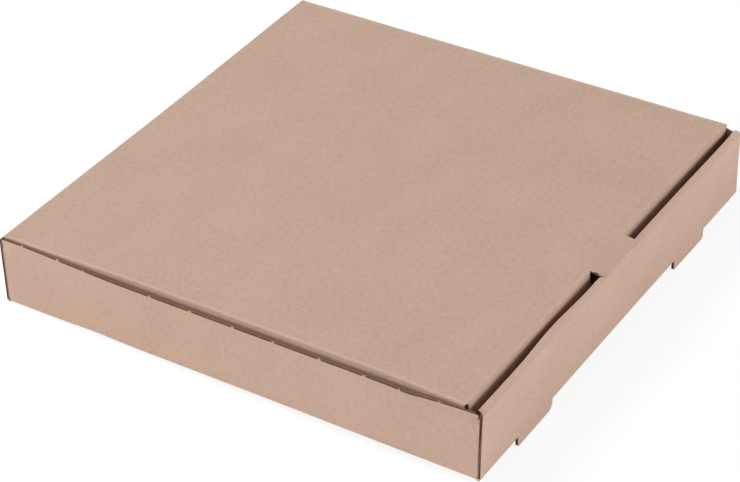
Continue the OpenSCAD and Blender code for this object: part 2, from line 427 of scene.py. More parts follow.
def warp_tray(x, y, z):
    """The left wall's bow, dent and raised crease, and the front wall's lean and uneven right end."""
    rise = np.clip(z / SIDE_TOP, 0, 1)
    fall = 1 - rise
    on_left = np.clip((-x - BOX_W / 2 + LEFT_REACH) / BOARD_T, 0, 1)
    in_front = np.clip((-y - BOX_D / 2 + FRONT_REACH) / BOARD_T, 0, 1)
    bow = ease(y, *BOW_FRONT_Y) * (1 - ease(y, *BOW_BACK_Y)) * rise ** BOW_POWER
    dent = hump((y - DENT_Y) / DENT_HALF) * rise ** DENT_POWER
    left = (LEFT_BOW * bow + DENT_OUT * dent) * on_left
    left = left + END_IN * ease(x, *END_IN_X) * fall * in_front
    lean = LEAN_IN * hump((x - LEAN_X) / LEAN_HALF) - graded(LEAN_OUT, x, LEAN_OUT_X)
    back = (lean * rise ** LEAN_POWER - graded(FOOT_OUT, x, FOOT_OUT_X) * fall) * in_front
    flare = FLARE_UP * ease(x, *FLARE_X) * rise ** FLARE_POWER
    sill = SILL_UP * ease(y, *SILL_Y) + SILL_BUMP * hump((y - SILL_BUMP_Y) / SILL_BUMP_HALF)
    up = flare * in_front + sill * fall ** SILL_POWER * on_left
    return x - left, y + back + back_turn(x, y, z), z + up


def warp_lid(x, y, z):
    """The lid's crown, wide right edge, lifted left edge and pulled right front corner."""
    along = np.clip((y - LID_FOLD_Y) / (BASE_V - LID_FOLD_Y), 0, 1)
    rise = np.clip(1 + (z - BOX_H) / PULL_DEPTH, 0, 1)
    right = rise * ease(x, *RIGHT_PULL_X) * (1 - ease(y, *RIGHT_PULL_Y))
    tip = rise * ease(x, *TIP_PULL_X) * (1 - ease(y, *TIP_PULL_Y))
    pull_y, pull_z = (right * wide + tip * fine for wide, fine in zip(RIGHT_PULL, TIP_PULL))
    out = LID_OUT * ease(x, *LID_OUT_X)
    lift = LIFT_UP * ease(-x, *LIFT_X) * ease(y, *LIFT_FRONT_Y) * (1 - ease(y, *LIFT_BACK_Y))
    x, y, z = warp_back(x, y, z)
    return x + out, y + pull_y, z + pull_z + lift + LID_CROWN * np.sin(math.pi * along)


def sheet_points(place, warp, flat, h):
    """Points of the folded sheet, in the shared frame, for places on the flat one."""
    u, v = flat[..., 0], flat[..., 1]
    return np.stack(warp(*place(u, v, h + 0 * u)), -1) + ORIGIN


def trace(corners):
    """Outline through corners (u, v, radius, kind of the next edge), with round ones as arcs."""
    points, kinds = [], []
    count = len(corners)
    for i, (u, v, radius, kind) in enumerate(corners):
        here = np.array([u, v])
        if not radius:
            points.append(here)
            kinds.append(kind)
            continue
        before = here - np.array(corners[i - 1][:2])
        after = np.array(corners[(i + 1) % count][:2]) - here
        heading = math.atan2(before[1], before[0])
        turn = (math.atan2(after[1], after[0]) - heading + math.pi) % (2 * math.pi) - math.pi
        way = math.copysign(1, turn)
        start = here - before / np.linalg.norm(before) * radius * math.tan(abs(turn) / 2)
        centre = start + way * radius * np.array([-math.sin(heading), math.cos(heading)])
        steps = max(ARC_STEPS_LEAST, math.ceil(abs(turn) * radius / ARC_STEP))
        for angle in heading + turn * np.linspace(0, 1, steps + 1):
            points.append(centre + way * radius * np.array([math.sin(angle), -math.cos(angle)]))
            kinds.append(kind)
    return np.array(points), kinds


def split_edges(points, kinds, lines):
    """Cuts the outline's edges where grid lines cross them."""
    cut_points, cut_kinds = [], []
    for i, here in enumerate(points):
        step = points[(i + 1) % len(points)] - here
        length = np.linalg.norm(step)
        shares = [0.0]
        for axis in (ACROSS, ALONG):
            if abs(step[axis]) > TOUCH:
                shares += list((lines[axis] - here[axis]) / step[axis])
        last = -1.0
        for share in sorted(shares):
            if 0 <= share < 1 - TOUCH / length and share - last > TOUCH / length:
                cut_points.append(here + share * step)
                cut_kinds.append(kinds[i])
                last = share
    return np.array(cut_points), cut_kinds


def inside_points(points, lines):
    """Crossings of the grid lines that lie inside the outline and clear of it."""
    u, v = (axis.ravel() for axis in np.meshgrid(*lines))
    inside = np.zeros(len(u), bool)
    clear = np.full(len(u), np.inf)
    for here, there in zip(points, np.roll(points, -1, 0)):
        step = there - here
        du, dv = u - here[0], v - here[1]
        crosses = (here[1] > v) != (there[1] > v)
        with np.errstate(divide="ignore", invalid="ignore"):
            inside ^= crosses & (u < here[0] + dv * step[0] / step[1])
        share = np.clip((du * step[0] + dv * step[1]) / (step @ step), 0, 1)
        clear = np.minimum(clear, np.hypot(du - share * step[0], dv - share * step[1]))
    keep = inside & (clear > EDGE_CLEAR)
    return np.stack([u[keep], v[keep]], -1)


def grid_lines(low, high, bends=()):
    """Grid lines from low to high: coarse on flat board, close in bends (start, end, steps)."""
    coarse = np.arange(math.ceil(low / GRID), math.floor(high / GRID) + 1) * GRID
    for start, end, steps in bends:
        coarse = coarse[(coarse < start - BEND_MARGIN) | (coarse > end + BEND_MARGIN)]
    fine = [np.linspace(start, end, steps + 1) for start, end, steps in bends]
    return np.unique(np.concatenate([coarse, *fine]))


# A pale line on the sheet, from start to end of an axis: stretched fibres at a fold, and on the lid and
# the roll also a painted highlight. A stretch of it can stay plain.
Fold = namedtuple("Fold", "axis start end strength plain", defaults=(1, (0, 0)))


def pale_and_highlight_strengths(flat, folds):
    """How pale the sheet is at each place, from 0 to 1, painted highlights included."""
    strengths = np.zeros(len(flat))
    for fold in folds:
        across, along = flat[:, fold.axis], flat[:, 1 - fold.axis]
        share = (2 * across - fold.start - fold.end) / (fold.end - fold.start)
        pale = (along < fold.plain[0]) | (along > fold.plain[1])
        strengths = np.maximum(strengths, fold.strength * hump(share) * pale)
    return strengths


def facing(face, points, direction):
    """Above 0 where a face looks along a direction, below 0 where it looks against it."""
    a, b, c = (points[i] for i in face[:3])
    return np.dot(np.cross(b - a, c - a), direction)


def inward_normal(pair):
    """Direction on the flat sheet, from an edge into it."""
    step = pair[1] - pair[0]
    return np.array([-step[1], step[0]]) / np.linalg.norm(step)


def outward(pair, place, warp):
    """Direction in space, from the sheet out of an edge."""
    here = pair.mean(0)
    inner = here + inward_normal(pair) * TOUCH
    ends = sheet_points(place, warp, np.array([here, inner]), 0.0)
    return ends[0] - ends[1]


def edge_mitres(points, kind_before, kind_after):
    """Ways into the sheet from the points of a stretch of edge, longer at its corners.
    points holds one more point of the outline before and after the stretch."""
    normals = np.array([inward_normal(pair) for pair in zip(points[:-1], points[1:])])
    mitres = np.zeros((len(points) - 2, 2))
    for i, (first, second) in enumerate(zip(normals[:-1], normals[1:])):
        mitres[i] = (first + second) / max(1 + first @ second, MITRE_LIMIT)
    if kind_before == JOIN:
        mitres[0] = normals[1]
    if kind_after == JOIN:
        mitres[-1] = normals[-2]
    return mitres


def flute_steps(run, mitres):
    """The same stretch of edge in steps that are short beside a flute."""
    flat, depth = [run[0]], [mitres[0]]
    for i in range(len(run) - 1):
        parts = max(1, math.ceil(abs(run[i + 1][0] - run[i][0]) / FLUTE_STEP))
        for k in range(1, parts + 1):
            share = k / parts
            flat.append(run[i] * (1 - share) + run[i + 1] * share)
            depth.append(mitres[i] * (1 - share) + mitres[i + 1] * share)
    return np.array(flat), np.array(depth)


def thin_sheet_faces(long, wide):
    """Faces of a closed thin sheet: a grid of points, one below it, and the rims between them."""
    below = long * wide
    faces = []
    for i in range(long - 1):
        for k in range(wide - 1):
            quad = [i * wide + k, (i + 1) * wide + k, (i + 1) * wide + k + 1, i * wide + k + 1]
            faces += [quad, [n + below for n in reversed(quad)]]
        for k in (0, wide - 1):
            here, there = i * wide + k, (i + 1) * wide + k
            rim = [here, here + below, there + below, there]
            faces.append(rim if k == 0 else rim[::-1])
    for i in (0, long - 1):
        for k in range(wide - 1):
            here, there = i * wide + k, i * wide + k + 1
            rim = [here, there, there + below, here + below]
            faces.append(rim if i == 0 else rim[::-1])
    return faces


class Board:
    """One mesh of folded board, gathered from regions of the flat sheet."""

    def __init__(self):
        self.points, self.flats, self.creases = [], [], []
        self.faces, self.slots = [], []
        self.count = 0

    def add(self, points, flats, faces, slot, creases=None):
        """Points with their places on the flat sheet, and faces between them."""
        self.points.append(points)
        self.flats.append(flats)
        self.creases.append(np.zeros(len(points)) if creases is None else creases)
        self.faces += [[i + self.count for i in face] for face in faces]
        self.slots += [slot] * len(faces)
        self.count += len(points)

    def region(self, corners, place, warp, lines, folds=()):
        """A flat outline, folded by place and warped, with pale lines along its folds: stretched fibres,
        and painted highlights where folds catch light.
        """
        points, kinds = split_edges(*trace(corners), lines)
        scaled = np.concatenate([points, inside_points(points, lines)]) * TRIANGLE_SCALE
        ring = [(i, (i + 1) % len(points)) for i in range(len(points))]
        flat, _, faces, *_ = delaunay_2d_cdt(
            [Vector(point) for point in scaled], ring, [], TRIANGLES_INSIDE, TRIANGLE_GAP)
        flat = np.array([tuple(point) for point in flat]) / TRIANGLE_SCALE
        creases = pale_and_highlight_strengths(flat, folds)
        outer, inner = (sheet_points(place, warp, flat, h) for h in (OUTSIDE, INSIDE))
        first = faces[0][0]
        turned = facing(faces[0], outer, outer[first] - inner[first]) < 0
        for shell, reverse in ((outer, turned), (inner, not turned)):
            ordered = [face[::-1] if reverse else face for face in faces]
            self.add(shell, flat, ordered, LINER_SLOT, creases)
        self.edges(points, kinds, place, warp)

    def edges(self, points, kinds, place, warp):
        """Edges that join no other region: plain ones one by one, fluted ones in stretches."""
        count = len(points)
        fluted = [kind == FLUTED for kind in kinds]
        for i, kind in enumerate(kinds):
            if kind == PLAIN:
                self.plain_edge(points[[i, (i + 1) % count]], place, warp)
            if fluted[i] and not fluted[i - 1]:
                run = 1
                while fluted[(i + run) % count]:
                    run += 1
                order = [(i + k) % count for k in range(-1, run + 2)]
                self.fluted_run(points[order], kinds[i - 1], kinds[(i + run) % count], place, warp)

    def plain_edge(self, pair, place, warp):
        """One flat strip between the two faces of the board."""
        strip = np.concatenate([sheet_points(place, warp, pair, h) for h in (OUTSIDE, INSIDE)])
        face = [0, 1, 3, 2]
        if facing(face, strip, outward(pair, place, warp)) <= 0:
            face = face[::-1]
        self.add(strip, np.concatenate([pair, pair]), [face], LINER_SLOT)

    def fluted_run(self, points, kind_before, kind_after, place, warp):
        """A stretch of cut edge: two liners, and an open groove with the wavy medium between them."""
        run = points[1:-1]
        mitres = edge_mitres(points, kind_before, kind_after)
        deep = run + GROOVE * mitres
        levels = (
            (run, OUTSIDE), (run, OUTSIDE + LINER_T), (deep, OUTSIDE + LINER_T),
            (deep, INSIDE - LINER_T), (run, INSIDE - LINER_T), (run, INSIDE),
        )
        strip = np.concatenate([sheet_points(place, warp, flat, h) for flat, h in levels])
        flats = np.concatenate([flat for flat, _ in levels])
        wide = len(run)
        last = wide - 1
        faces = []
        for row in range(0, len(strip) - wide, wide):
            for i in range(row, row + last):
                faces.append([i, i + 1, i + wide + 1, i + wide])
        turned = facing(faces[0], strip, outward(run[:2], place, warp)) <= 0
        groove = (1, 2, 3, 4)
        if kind_before == PLAIN:
            faces.append([level * wide for level in reversed(groove)])
        if kind_after == PLAIN:
            faces.append([level * wide + last for level in groove])
        self.add(strip, flats, [face[::-1] if turned else face for face in faces], CORE_SLOT)
        self.medium(run, mitres, place, warp)

    def medium(self, run, mitres, place, warp):
        """The wavy sheet between the liners, seen in a cut edge."""
        flat, depth = flute_steps(run, mitres)
        steps = max(1, math.ceil(GROOVE * np.abs(depth[:, 0]).max() / FLUTE_STEP))
        grid = flat[:, None] + depth[:, None] * np.linspace(0, GROOVE, steps + 1)[None, :, None]
        swing = BOARD_T / 2 - LINER_T - MEDIUM_T / 2 - TOUCH
        middle = swing * np.sin(2 * math.pi * grid[..., 0] / FLUTE_PITCH)
        top = sheet_points(place, warp, grid, middle - MEDIUM_T / 2)
        under = sheet_points(place, warp, grid, middle + MEDIUM_T / 2)
        points = np.concatenate([top.reshape(-1, 3), under.reshape(-1, 3)])
        faces = thin_sheet_faces(*top.shape[:2])
        if facing(faces[0], points, top[0, 0] - under[0, 0]) < 0:
            faces = [face[::-1] for face in faces]
        flats = np.concatenate([grid.reshape(-1, 2)] * 2)
        self.add(points, flats, faces, CORE_SLOT)

    def nick(self, u, v, place, warp, dice):
        """What is left of a torn bridge on a cut edge that runs along v."""
        away = math.copysign(1, u)
        half_w = NICK_W * dice.uniform(*NICK_W_SHARES) / 2
        high = NICK_H * dice.uniform(*NICK_H_SHARES)
        near_tip, far_tip = NICK_TIP_SHARES
        points, flats = [], []
        for h in (OUTSIDE + NICK_INSET, OUTSIDE + NICK_T):
            right_tip = dice.uniform(near_tip, far_tip)
            left_tip = dice.uniform(-far_tip, -near_tip)
            for side, on_top in ((-1, False), (1, False), (right_tip, True), (left_tip, True)):
                rise = high * dice.uniform(*NICK_RAGGED_SHARES) if on_top else -LINER_T
                flat = np.array([u + away * rise, v + side * half_w])
                points.append(sheet_points(place, warp, flat, h))
                flats.append(flat)
        faces = [[3, 2, 1, 0], [4, 5, 6, 7]]
        faces += [[k, (k + 1) % 4, (k + 1) % 4 + 4, k + 4] for k in range(4)]
        if away < 0:
            faces = [face[::-1] for face in faces]
        self.add(np.array(points), np.array(flats), faces, LINER_SLOT, np.ones(len(points)))

    def build(self, name, materials):
        """The object, with the flat sheet's places and the pale creases, painted highlights among them,
        for its materials.
        """
        mesh = bpy.data.meshes.new(name)
        mesh.from_pydata([tuple(p) for p in np.concatenate(self.points)], [], self.faces)
        for material in materials:
            mesh.materials.append(material)
        mesh.polygons.foreach_set("material_index", self.slots)
        flat = np.concatenate(self.flats)
        corner_points = np.zeros(len(mesh.loops), np.int32)
        mesh.loops.foreach_get("vertex_index", corner_points)
        layer = mesh.uv_layers.new(name="sheet")
        layer.data.foreach_set("uv", flat[corner_points].astype(np.float32).ravel())
        # The crease layer holds the pale lines: stretched fibres, and painted highlights beside the
        # lid's folds and on the roll.
        crease = mesh.attributes.new("crease", "FLOAT", "POINT")
        crease.data.foreach_set("value", np.concatenate(self.creases).astype(np.float32))
        mesh.validate()
        weld(mesh)
        mesh.polygons.foreach_set("use_smooth", [True] * len(mesh.polygons))
        mesh.set_sharp_from_angle(angle=SMOOTH_ANGLE)
        return new_object(name, mesh)


def new_object(name, data):
    """An object in the scene."""
    made = bpy.data.objects.new(name, data)
    bpy.context.scene.collection.objects.link(made)
    return made


def weld(mesh):
    """Joins the points that neighbouring regions share."""
    work = bmesh.new()
    work.from_mesh(mesh)
    bmesh.ops.remove_doubles(work, verts=work.verts, dist=WELD_GAP)
    work.to_mesh(mesh)
    work.free()


def mirrored(corners, flip):
    """Mirror image of an outline, or half of one, whose last edge joins another region."""
    kinds = [kind for *_, kind in corners[-2::-1]] + [JOIN]
    return [
        (u * flip[0], v * flip[1], radius, kind)
        for (u, v, radius, _), kind in zip(reversed(corners), kinds)
    ]


def tongue(x, reach, root_v, tip_v, radii, after):
    """Corners of a tongue or slot from x - reach to x + reach, and the kind of the edge after it."""
    start, end = x - reach, x + reach
    return [
        (start, root_v, 0, FLUTED),
        (start, tip_v, radii[0], FLUTED),
        (end, tip_v, radii[1], FLUTED),
        (end, root_v, 0, after),
    ]


def base_half():
    """Right half of the base with its bottom creases, from the front to the back."""
    relief_v = BASE_V - CORNER_RELIEF
    return [
        (BOX_W / 2, -WALL_V, 0, PLAIN),
        (BOX_W / 2, -BASE_V, 0, PLAIN),
        (BASE_U, -BASE_V, 0, PLAIN),
        (BASE_U, -relief_v, 0, PLAIN),
        (WALL_U, -relief_v, 0, JOIN),
        (WALL_U, relief_v, 0, PLAIN),
        (BASE_U, relief_v, 0, PLAIN),
        (BASE_U, BASE_V, 0, PLAIN),
        (BOX_W / 2, BASE_V, 0, PLAIN),
        (BOX_W / 2, WALL_V, 0, JOIN),
    ]


def base_outline():
    """Base, with the slots that the feet leave in its front edge."""
    slot_v = FOOT_L - BOX_D / 2
    *left_half, front_left = mirrored(base_half(), (-1, 1))
    corners = [front_left]
    for x, round_r in zip(FEET_X, FEET_ROUND_R):
        corners += tongue(x, FOOT_W / 2, -WALL_V, slot_v, (FOOT_SQUARE_R, round_r), JOIN)
    return corners + base_half() + left_half


def front_v(s):
    """Place on the sheet at a distance s up the front wall and over its roll."""
    return -WALL_V - s


def front_outline():
    """Front wall with its roll, inner panel, lock tabs and feet."""
    inner_v = front_v(INNER_END_S)
    corners = [(ROLL_LEFT, inner_v, 0, FLUTED)]
    for x in FEET_X:
        corners += tongue(x, LOCK_W / 2, inner_v, inner_v - LOCK_L, (LOCK_R, LOCK_R), FLUTED)
    corners += [
        (ROLL_RIGHT, inner_v, 0, FLUTED),
        (ROLL_RIGHT, front_v(INNER_S), 0, FLUTED),
        (FRONT_RIGHT, front_v(ROLL_S), 0, FLUTED),
        (BOX_W / 2, front_v(0), 0, JOIN),
    ]
    for x, round_r in zip(reversed(FEET_X), reversed(FEET_ROUND_R)):
        corners += tongue(x, -FOOT_W / 2, front_v(0), front_v(-FOOT_L), (round_r, FOOT_SQUARE_R), JOIN)
    corners += [
        (-BOX_W / 2, front_v(0), 0, FLUTED),
        (FRONT_LEFT, front_v(ROLL_S), 0, FLUTED),
        (ROLL_LEFT, front_v(INNER_S), 0, FLUTED),
    ]
    return corners


def side_u(z):
    """Place on the sheet at a height z of the right side wall."""
    return WALL_U + z - FOLD_R


def side_half(corner_top, run):
    """Front half of the right side wall, with its corner flap. Its top slopes down to the corner."""
    flap_low = BOARD_T + CORNER_FLAP_LIFT
    flap_end = CORNER_V + CORNER_FLAP_L
    crease_low = FOLD_R + CORNER_RELIEF
    return [
        (WALL_U, -SIDE_CREASE_L / 2, 0, PLAIN),
        (side_u(crease_low), -SIDE_CREASE_L / 2, 0, PLAIN),
        (side_u(crease_low), -CORNER_V, 0, PLAIN),
        (side_u(flap_low), -CORNER_V, 0, FLUTED),
        (side_u(flap_low + CORNER_FLAP_TAPER), -flap_end, CORNER_FLAP_R, FLUTED),
        (side_u(CORNER_FLAP_TOP - CORNER_FLAP_TAPER), -flap_end, CORNER_FLAP_R, FLUTED),
        (side_u(CORNER_FLAP_TOP), -CORNER_V, 0, PLAIN),
        (side_u(corner_top), -CORNER_V, 0, PLAIN),
        (side_u(corner_top), -SIDE_L / 2, 0, FLUTED),
        (side_u(SIDE_TOP), run - SIDE_L / 2, 0, FLUTED),
    ]


def side_outline(front_top, front_run):
    """Right side wall, whose front corner has its own height and slope."""
    return side_half(front_top, front_run) + mirrored(side_half(CORNER_TOP, CORNER_RUN), (1, -1))


def back_outline():
    """Back wall."""
    return [
        (-BOX_W / 2, WALL_V, 0, JOIN),
        (BOX_W / 2, WALL_V, 0, FLUTED),
        (BOX_W / 2, CREASE_V, 0, JOIN),
        (-BOX_W / 2, CREASE_V, 0, FLUTED),
    ]


def crease_outline():
    """Strip of board that bends between the back wall and the lid."""
    return [
        (-BOX_W / 2, CREASE_V, 0, JOIN),
        (BOX_W / 2, CREASE_V, 0, FLUTED),
        (HINGE_W / 2, LID_V, 0, JOIN),
        (-HINGE_W / 2, LID_V, 0, FLUTED),
    ]


def lid_half(slit_w, slit_in):
    """Right half of the lid with its side flap, clear of the corner flap behind it."""
    rear = LID_V + BASE_V - (BOX_D / 2 - 2 * OUTER_PACK - FLAP_REAR_GAP)
    fore = FRONT_V - slit_w
    strip = LID_V + HINGE_STRIP
    fold_rear = strip + HINGE_RELIEF
    ear_end = FLAP_U + BOX_H - SHARP_R - CORNER_FLAP_TOP - FLAP_REAR_GAP
    flap_end = FLAP_U + SIDE_FLAP_L
    return [
        (HINGE_W / 2, LID_V, 0, PLAIN),
        (HINGE_W / 2, strip, 0, PLAIN),
        (LID_U, strip, 0, PLAIN),
        (LID_U, fold_rear, 0, PLAIN),
        (FLAP_U, fold_rear, 0, PLAIN),
        (ear_end, fold_rear, 0, PLAIN),
        (ear_end, rear, 0, FLUTED),
        (flap_end, rear + FLAP_TAPER, FLAP_R, FLUTED),
        (flap_end, fore - FLAP_TAPER, FLAP_R, FLUTED),
        (FLAP_U, fore, 0, PLAIN),
        (LID_W / 2 - slit_in, FRONT_V, 0, JOIN),
    ]


def lid_outline():
    """Lid panel with its side flaps."""
    return lid_half(*SLIT_RIGHT) + mirrored(lid_half(*SLIT_LEFT), (-1, 1))


def tab_outline():
    """Lift tab. Its left end shows the flutes where it leaves the lid."""
    tip = TAB_ROOT_W / 2 - TAB_TAPER
    return [
        (TAB_SHIFT + TAB_ROOT_W / 2, FRONT_V, 0, PLAIN),
        (TAB_SHIFT + tip, FRONT_V + TAB_L, TAB_R, PLAIN),
        (TAB_SHIFT - tip, FRONT_V + TAB_L, TAB_R, PLAIN),
        (TAB_SHIFT - tip - TAB_TAPER / 2, FRONT_V + TAB_L / 2, 0, FLUTED),
        (TAB_SHIFT - TAB_ROOT_W / 2, FRONT_V, 0, JOIN),
    ]


def front_flap_outline():
    """The lid's front flap, with the notch that the lift tab leaves."""
    end = FLAP_V + FRONT_FLAP_L
    left = SLIT_LEFT[1] - LID_W / 2
    right = LID_W / 2 - SLIT_RIGHT[1]
    notch = [(u, v, radius, PLAIN) for u, v, radius, _ in reversed(tab_outline())]
    corners = [(left, FRONT_V, 0, JOIN), *notch[:-1], (*notch[-1][:3], JOIN)]
    corners += [
        (right, FRONT_V, 0, PLAIN),
        (right, FLAP_V, 0, FLUTED),
        (LID_W / 2 - FLAP_TAPER, end, FLAP_R, FLUTED),
        (FLAP_TAPER - LID_W / 2, end, FLAP_R, FLUTED),
        (left, FLAP_V, 0, PLAIN),
    ]
    return corners


def across_lines(bends=()):
    """Grid lines across the whole sheet."""
    return grid_lines(-BOX_W, BOX_W, bends)


def both_sides(bends):
    """Bends (start, end, steps), and their mirror images."""
    return bends + [(-end, -start, steps) for start, end, steps in bends]


def add_base(board):
    """Base with its bottom creases."""
    across = across_lines(both_sides([(BASE_U, WALL_U, BEND_STEPS)]))
    along = grid_lines(-WALL_V, WALL_V, both_sides([(BASE_V, WALL_V, BEND_STEPS)]))
    board.region(
        base_outline(), place_base, warp_tray, (across, along),
        [Fold(ACROSS, -WALL_U, -BASE_U), Fold(ACROSS, BASE_U, WALL_U), Fold(ALONG, BASE_V, WALL_V)],
    )


def add_front(board):
    """Front wall, with a pale band on the outer half of its roll: a painted highlight along its edge,
    partly stretched fibres.
    """
    roll = (front_v(INNER_S), front_v(ROLL_S), ROLL_STEPS)
    along = grid_lines(front_v(INNER_END_S + LOCK_L), front_v(-FOOT_L), [roll])
    pale = [front_v(ROLL_S + share * ROLL_L) for share in reversed(ROLL_HIGHLIGHT_SHARES)]
    lines = (across_lines(), along)
    board.region(front_outline(), place_front, warp_tray, lines, [Fold(ALONG, *pale, ROLL_HIGHLIGHT)])


def add_sides(board):
    """Side walls with their corner flaps, and the nicks on the left one."""
    corners = both_sides([(SIDE_L / 2, CORNER_V, BEND_STEPS)])
    along = grid_lines(-CORNER_V - CORNER_FLAP_L, CORNER_V + CORNER_FLAP_L, corners)
    right_side = side_outline(LOW_CORNER_TOP, LOW_CORNER_RUN)
    left_side = mirrored(side_outline(CORNER_TOP, CORNER_RUN), (-1, 1))
    for outline in (right_side, left_side):
        board.region(outline, place_side, warp_tray, (across_lines(), along))
    dice = random.Random(NICK_SEED)
    for share in NICK_PLACE_SHARES:
        board.nick(-side_u(SIDE_TOP), (share - 0.5) * SIDE_L, place_side, warp_tray, dice)


def tray_board(materials):
    """The tray."""
    board = Board()
    add_base(board)
    add_front(board)
    add_sides(board)
    board.region(back_outline(), place_spine, warp_back, (across_lines(), grid_lines(WALL_V, CREASE_V)))
    return board.build("tray_board", materials)


def hinge_crease(materials):
    """The crease between the tray and the lid."""
    board = Board()
    bend = (CREASE_V, LID_V)
    lines = (across_lines(), grid_lines(*bend, [(*bend, BEND_STEPS)]))
    board.region(crease_outline(), place_spine, warp_back, lines, [Fold(ALONG, *bend)])
    return board.build("hinge_crease", materials)


def lid_board(materials):
    """The lid, with pale lines beside its folds, painted highlights where the fold shoulders catch
    light, apart from the root of the lift tab.
    """
    board = Board()
    highlight_u = LID_U - FOLD_HIGHLIGHT_W
    highlight_v = FRONT_V - FOLD_HIGHLIGHT_W
    tab_root = (TAB_SHIFT - TAB_ROOT_W / 2, TAB_SHIFT + TAB_ROOT_W / 2)
    across = across_lines(both_sides([(highlight_u, LID_U, BEND_STEPS), (LID_U, FLAP_U, BEND_STEPS)]))
    along = grid_lines(LID_V, FRONT_V, [(highlight_v, FRONT_V, BEND_STEPS)])
    front_highlight = Fold(ALONG, highlight_v, FRONT_V, FRONT_FOLD_HIGHLIGHT, tab_root)
    board.region(
        lid_outline(), place_lid, warp_lid, (across, along),
        [Fold(ACROSS, -LID_U, -highlight_u), Fold(ACROSS, highlight_u, LID_U), front_highlight],
    )
    along = grid_lines(FRONT_V, FLAP_V + FRONT_FLAP_L, [(FRONT_V, FLAP_V, BEND_STEPS)])
    board.region(front_flap_outline(), place_front_flap, warp_lid, (across_lines(), along))
    along = grid_lines(FRONT_V, FRONT_V + TAB_L)
    board.region(tab_outline(), place_tab, warp_lid, (across_lines(), along))
    return board.build("lid_board", materials)


# Materials

def new_material(name):
    """A material with its node tree and shader."""
    material = bpy.data.materials.new(name)
    material.use_nodes = True
    tree = material.node_tree
    return material, tree, tree.nodes["Principled BSDF"]


def sheet_noise(tree, sheet, across, along, detail):
    """Noise on the flat sheet, with features of these sizes across and along the flutes."""
    mapping = tree.nodes.new("ShaderNodeMapping")
    mapping.inputs["Scale"].default_value = (1 / across, 1 / along, 1)
    tree.links.new(sheet, mapping.inputs["Vector"])
    noise = tree.nodes.new("ShaderNodeTexNoise")
    noise.inputs["Scale"].default_value = 1
    noise.inputs["Detail"].default_value = detail
    tree.links.new(mapping.outputs["Vector"], noise.inputs["Vector"])
    return noise.outputs["Fac"]


def washboard(tree, sheet):
    """A wave across the flutes, from -1 to 1, where the liner follows the medium under it."""
    parts = tree.nodes.new("ShaderNodeSeparateXYZ")
    tree.links.new(sheet, parts.inputs["Vector"])
    turns = tree.nodes.new("ShaderNodeMath")
    turns.operation = "MULTIPLY"
    turns.inputs[1].default_value = 2 * math.pi / FLUTE_PITCH
    tree.links.new(parts.outputs["X"], turns.inputs[0])
    wave = tree.nodes.new("ShaderNodeMath")
    wave.operation = "SINE"
    tree.links.new(turns.outputs[0], wave.inputs[0])
    return wave.outputs[0]


def weighted_sum(tree, start, terms):
    """start plus each socket times its weight."""
    total = start
    for socket, weight in terms:
        step = tree.nodes.new("ShaderNodeMath")
        step.operation = "MULTIPLY_ADD"
        tree.links.new(socket, step.inputs[0])
        step.inputs[1].default_value = weight
        if isinstance(total, float):
            step.inputs[2].default_value = total
        else:
            tree.links.new(total, step.inputs[2])
        total = step.outputs[0]
    return total


def ranged(tree, socket, limits):
    """The socket's value, moved from one range to another and kept in it."""
    node = tree.nodes.new("ShaderNodeMapRange")
    for name, limit in zip(("From Min", "From Max", "To Min", "To Max"), limits):
        node.inputs[name].default_value = limit
    tree.links.new(socket, node.inputs["Value"])
    return node.outputs["Result"]


def tone_ramp(tree, socket, tones):
    """Three colours along a ramp: at its start, middle and end."""
    node = tree.nodes.new("ShaderNodeValToRGB")
    elements = node.color_ramp.elements
    elements.new(0.5)
    for element, tone in zip(elements, tones):
        element.color = (*tone, 1)
    tree.links.new(socket, node.inputs["Fac"])
    return node.outputs["Color"]


def mixed(tree, share, first, tone):
    """The first colour, with a share of one tone over it."""
    mix = tree.nodes.new("ShaderNodeMix")
    mix.data_type = "RGBA"
    tree.links.new(share, mix.inputs["Factor"])
    tree.links.new(first, mix.inputs["A"])
    mix.inputs["B"].default_value = (*tone, 1)
    return mix.outputs["Result"]


def attribute(tree, name):
    """Node that reads a layer of the mesh."""
    node = tree.nodes.new("ShaderNodeAttribute")
    node.attribute_name = name
    return node


def raised(tree, shader, height):
    """Relief, with heights in metres."""
    bump = tree.nodes.new("ShaderNodeBump")
    bump.inputs["Distance"].default_value = 1
    tree.links.new(height, bump.inputs["Height"])
    tree.links.new(bump.outputs["Normal"], shader.inputs["Normal"])


# Colours, as linear red, green and blue. The tones run from dark to light.
LINER_TONES = ((0.425, 0.286, 0.215), (0.535, 0.371, 0.286), (0.645, 0.460, 0.362))
# The core's tones are dark partly as the medium's own colour and partly as painted shade of the cut
# edges' flute hollows.
CORE_AND_SHADE_TONES = ((0.190, 0.115, 0.080), (0.300, 0.190, 0.135), (0.400, 0.265, 0.195))
DARK_FIBRE = (0.300, 0.185, 0.130)
LIGHT_FIBRE = (0.680, 0.530, 0.440)
# The pale-line tone: stretched or torn fibres at folds and nicks, and painted highlights beside the
# lid's folds and on the roll.
PALE_AND_HIGHLIGHT_TONE = (0.620, 0.438, 0.340)

# Patterns of the paper: sizes in metres across and along the flutes, and detail
FIBRE = (0.0014, 0.0005, 2)
MOTTLE = (0.004, 0.0026, 3)
CLOUD = (0.045, 0.030, 2)
STRAND = (0.0032, 0.0004, 1)
CORE_FIBRE = (0.0006, 0.0006, 3)
CORE_MOTTLE = (0.006, 0.006, 2)

# What the patterns add to the tone, from a start that puts its mean at the ramp's middle
LINER_START = -0.30
FIBRE_TONE = 0.70
MOTTLE_TONE = 0.60
CLOUD_TONE = 0.30
# The wave's tone is painted shade: darker in the washboard's troughs, lighter on its crests.
WAVE_PAINTED_SHADE = 0.02
CORE_START = -0.20
CORE_FIBRE_TONE = 0.80
CORE_MOTTLE_TONE = 0.60

